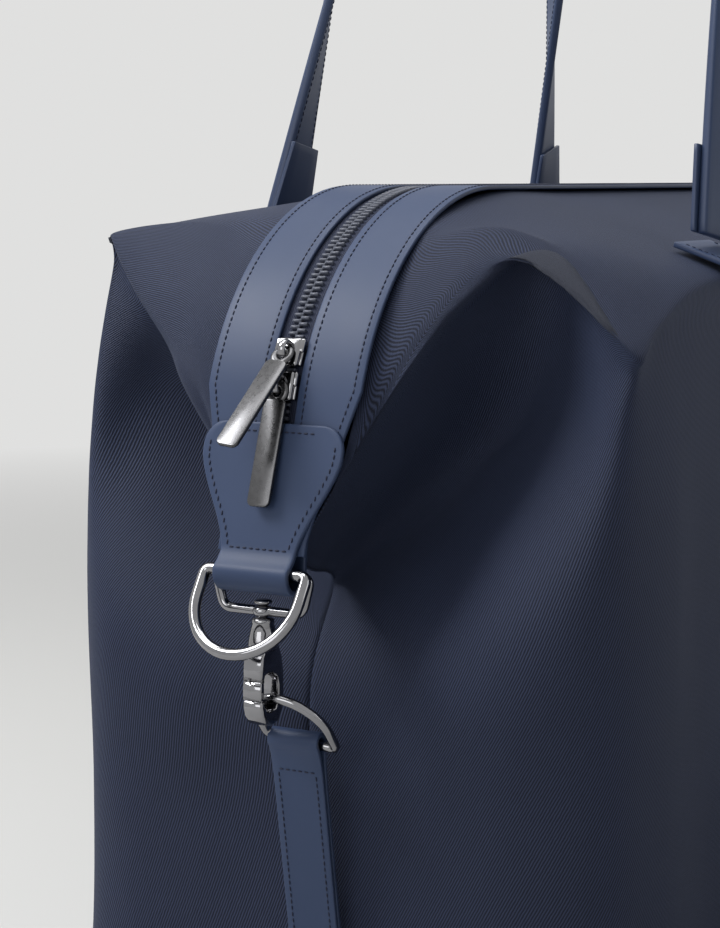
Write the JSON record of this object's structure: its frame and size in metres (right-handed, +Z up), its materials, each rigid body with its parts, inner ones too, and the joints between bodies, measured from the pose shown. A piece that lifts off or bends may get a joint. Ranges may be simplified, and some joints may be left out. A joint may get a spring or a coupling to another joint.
{
  "type": "holdall bag",
  "caption": "Soft navy twill holdall with leather-look zip bands, folded gusset ears, swivel hooks and two carry handles.",
  "frame": {"origin": "on the floor under the middle of the bag", "axes": "+X towards the right end, -Y towards the front, +Z up; the zip lies in the plane Y = 0"},
  "size_m": [0.5928, 0.245, 0.5066],
  "materials": {
    "navy_twill": "fine diagonal twill weave, matte",
    "navy_leather": "smooth leather-look, painted edges, dark stitching",
    "zip_tape": "woven zip tape",
    "zip_teeth": "moulded chunky teeth, semi-matte",
    "gunmetal": "polished dark gunmetal plating",
    "lining_cloth": "plain woven lining",
    "board": "stiff base board"
  },
  "bodies": {
    "root": {"back_handle_anchors": "navy_leather", "back_panel": "navy_twill", "back_top_panel": "navy_twill", "back_zip_band": "navy_leather", "back_zip_tape": "zip_tape", "back_zip_teeth": "zip_teeth", "base_board": "board", "base_panel": "navy_twill", "front_handle_anchors": "navy_leather", "front_panel": "navy_twill", "front_top_panel": "navy_twill", "front_zip_band": "navy_leather", "front_zip_tape": "zip_tape", "front_zip_teeth": "zip_teeth", "inner_pocket": "lining_cloth", "left_end_panel": "navy_twill", "left_side_strap": "navy_leather", "left_zip_ear": "navy_twill", "left_zip_tab": "navy_leather", "lining": "lining_cloth", "right_end_panel": "navy_twill", "right_side_strap": "navy_leather", "right_zip_ear": "navy_twill", "right_zip_tab": "navy_leather"},
    "front_handle": {"front_handle": "navy_leather", "front_handle_chapes": "navy_leather"},
    "back_handle": {"back_handle": "navy_leather", "back_handle_chapes": "navy_leather"},
    "upper_slider": {"upper_slider": "gunmetal"},
    "upper_puller": {"upper_puller": "gunmetal"},
    "lower_slider": {"lower_slider": "gunmetal"},
    "lower_puller": {"lower_puller": "gunmetal"},
    "left_d_ring": {"left_d_ring": "gunmetal"},
    "left_swivel_loop": {"left_swivel_loop": "gunmetal"},
    "left_hook": {"left_snap_hook": "gunmetal", "left_gate_pin": "gunmetal", "left_gate_spring": "gunmetal"},
    "left_gate": {"left_hook_gate": "gunmetal"},
    "left_strap_ring": {"left_strap_ring": "gunmetal"},
    "right_d_ring": {"right_d_ring": "gunmetal"},
    "right_swivel_loop": {"right_swivel_loop": "gunmetal"},
    "right_hook": {"right_snap_hook": "gunmetal", "right_gate_pin": "gunmetal", "right_gate_spring": "gunmetal"},
    "right_gate": {"right_hook_gate": "gunmetal"},
    "right_strap_ring": {"right_strap_ring": "gunmetal"}
  },
  "joints": [
    {"name": "front_handle_tilt", "type": "hinge", "parent": "root", "child": "front_handle", "pos_m": [0, -0.103, 0.3015], "axis": [1, 0, 0], "range_deg": [-25, 102]},
    {"name": "back_handle_tilt", "type": "hinge", "parent": "root", "child": "back_handle", "pos_m": [0, 0.091, 0.305], "axis": [-1, 0, 0], "range_deg": [-15, 113]},
    {"name": "upper_slider_run", "type": "hinge", "parent": "root", "child": "upper_slider", "pos_m": [-0.163, 0, 0.22], "axis": [0, 1, 0], "range_deg": [0, 62]},
    {"name": "lower_slider_run", "type": "hinge", "parent": "root", "child": "lower_slider", "pos_m": [-0.163, 0, 0.22], "axis": [0, 1, 0], "range_deg": [-2.5, 0.3]},
    {"name": "upper_puller_lift", "type": "hinge", "parent": "upper_slider", "child": "upper_puller", "pos_m": [-0.25807, 0, 0.26433], "axis": [0, 1, 0], "range_deg": [0, 110]},
    {"name": "lower_puller_lift", "type": "hinge", "parent": "lower_slider", "child": "lower_puller", "pos_m": [-0.26277, 0, 0.25242], "axis": [0, 1, 0], "range_deg": [0, 6]},
    {"name": "left_d_ring_swing", "type": "hinge", "parent": "root", "child": "left_d_ring", "pos_m": [-0.27799, 0, 0.18766], "axis": [0, 1, 0], "range_deg": [-20, 115]},
    {"name": "left_loop_swing", "type": "hinge", "parent": "root", "child": "left_swivel_loop", "pos_m": [-0.27345, 0, 0.18644], "axis": [0, 1, 0], "range_deg": [-0.5, 0.5]},
    {"name": "left_hook_swivel", "type": "hinge", "parent": "left_swivel_loop", "child": "left_hook", "pos_m": [-0.27345, 0, 0.17344], "axis": [0, 0, 1], "range_deg": [-10, 10]},
    {"name": "left_gate_push", "type": "hinge", "parent": "left_hook", "child": "left_gate", "pos_m": [-0.27945, 0, 0.14944], "axis": [0, -1, 0], "range_deg": [0, 22], "stiffness_Nm_per_rad": 0.02},
    {"name": "left_strap_ring_swing", "type": "hinge", "parent": "root", "child": "left_strap_ring", "pos_m": [-0.26, 0, 0.125], "axis": [0, 1, 0], "range_deg": [-0.5, 0.5]},
    {"name": "right_d_ring_swing", "type": "hinge", "parent": "root", "child": "right_d_ring", "pos_m": [0.27799, 0, 0.18766], "axis": [0, -1, 0], "range_deg": [-20, 115]},
    {"name": "right_loop_swing", "type": "hinge", "parent": "root", "child": "right_swivel_loop", "pos_m": [0.27345, 0, 0.18644], "axis": [0, -1, 0], "range_deg": [-0.5, 0.5]},
    {"name": "right_hook_swivel", "type": "hinge", "parent": "right_swivel_loop", "child": "right_hook", "pos_m": [0.27345, 0, 0.17344], "axis": [0, 0, 1], "range_deg": [-10, 10]},
    {"name": "right_gate_push", "type": "hinge", "parent": "right_hook", "child": "right_gate", "pos_m": [0.27945, 0, 0.14944], "axis": [0, 1, 0], "range_deg": [0, 22], "stiffness_Nm_per_rad": 0.02},
    {"name": "right_strap_ring_swing", "type": "hinge", "parent": "root", "child": "right_strap_ring", "pos_m": [0.26, 0, 0.125], "axis": [0, -1, 0], "range_deg": [-0.5, 0.5]}
  ]
}
